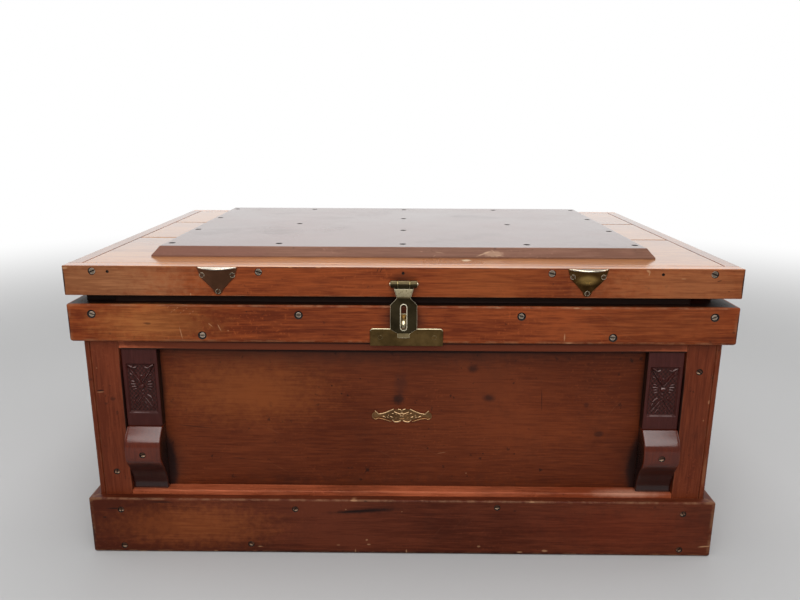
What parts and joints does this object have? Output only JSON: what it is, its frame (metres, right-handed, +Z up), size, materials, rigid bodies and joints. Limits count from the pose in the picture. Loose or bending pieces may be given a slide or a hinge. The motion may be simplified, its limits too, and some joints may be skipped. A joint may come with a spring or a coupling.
{
  "type": "tool chest",
  "caption": "Joined wooden tool chest with a hinged lid, brass hasp and finger lifts, carved corner blocks, drop handles and a sliding till.",
  "frame": {"origin": "on the floor, at the middle of the chest's box", "axes": "+X to the right of someone facing the front, +Y to the back, +Z up"},
  "size_m": [0.914, 0.6324, 0.4487],
  "materials": {
    "frame_wood": "oiled, worn",
    "panel_wood": "oiled, stained",
    "plinth_wood": "oiled, scuffed",
    "band_wood": "varnished, scratched",
    "inner_wood": "bare, aged",
    "carved_wood": "dark stained, carved",
    "lid_wood": "varnished, scratched",
    "raised_wood": "varnished, dulled",
    "brass": "tarnished",
    "lift_bronze": "dark patina",
    "hinge_metal": "tarnished",
    "handle_iron": "blackened",
    "screw_metal": "aged, slotted"
  },
  "bodies": {
    "case": {"front_left_post": "frame_wood", "front_right_post": "frame_wood", "back_left_post": "frame_wood", "back_right_post": "frame_wood", "front_top_rail": "frame_wood", "front_bottom_rail": "frame_wood", "right_top_rail": "frame_wood", "right_bottom_rail": "frame_wood", "back_top_rail": "frame_wood", "back_bottom_rail": "frame_wood", "left_top_rail": "frame_wood", "left_bottom_rail": "frame_wood", "front_panel": "panel_wood", "right_panel": "panel_wood", "back_panel": "panel_wood", "left_panel": "panel_wood", "plinth_front": "plinth_wood", "plinth_right": "plinth_wood", "plinth_back": "plinth_wood", "plinth_left": "plinth_wood", "band_front": "band_wood", "band_right": "band_wood", "band_back": "band_wood", "band_left": "band_wood", "floor_boards": "inner_wood", "floor_cleats": "inner_wood", "till_runners": "inner_wood", "left_pilaster": "carved_wood", "right_pilaster": "carved_wood", "left_corbel": "carved_wood", "right_corbel": "carved_wood", "front_ornament": "brass", "staple_plate": "brass", "staple": "brass", "case_hinge_leaves": "hinge_metal", "hinge_pins": "hinge_metal", "handle_plates": "handle_iron", "case_wood_screws": "screw_metal"},
    "lid": {"lid_front_rail": "lid_wood", "lid_back_rail": "lid_wood", "lid_left_rail": "lid_wood", "lid_right_rail": "lid_wood", "lid_boards": "lid_wood", "lid_raised_panel": "raised_wood", "left_finger_lift": "lift_bronze", "right_finger_lift": "brass", "hasp_hinge_leaf": "brass", "hasp_pin": "brass", "lid_hinge_leaves": "hinge_metal", "lid_wood_screws": "screw_metal"},
    "hasp": {"hasp_strap": "brass"},
    "till": {"till_bottom": "inner_wood", "till_front": "inner_wood", "till_back": "inner_wood", "till_ends": "inner_wood"},
    "left_bail": {"left_handle_bail": "handle_iron"},
    "right_bail": {"right_handle_bail": "handle_iron"}
  },
  "joints": [
    {"name": "lid_hinge", "type": "hinge", "parent": "case", "child": "lid", "pos_m": [0, 0.31125, 0.3875], "axis": [-1, 0, 0], "range_deg": [0, 100]},
    {"name": "hasp_hinge", "type": "hinge", "parent": "lid", "child": "hasp", "pos_m": [0.002, -0.29905, 0.413], "axis": [-1, 0, 0], "range_deg": [0, 165]},
    {"name": "till_slide", "type": "slide", "parent": "case", "child": "till", "axis": [0, -1, 0], "range_m": [0, 0.3234]},
    {"name": "left_bail_hinge", "type": "hinge", "parent": "case", "child": "left_bail", "pos_m": [-0.4355, 0.01125, 0.24], "axis": [0, 1, 0], "range_deg": [0, 90]},
    {"name": "right_bail_hinge", "type": "hinge", "parent": "case", "child": "right_bail", "pos_m": [0.4355, 0.01125, 0.24], "axis": [0, -1, 0], "range_deg": [0, 90]}
  ]
}
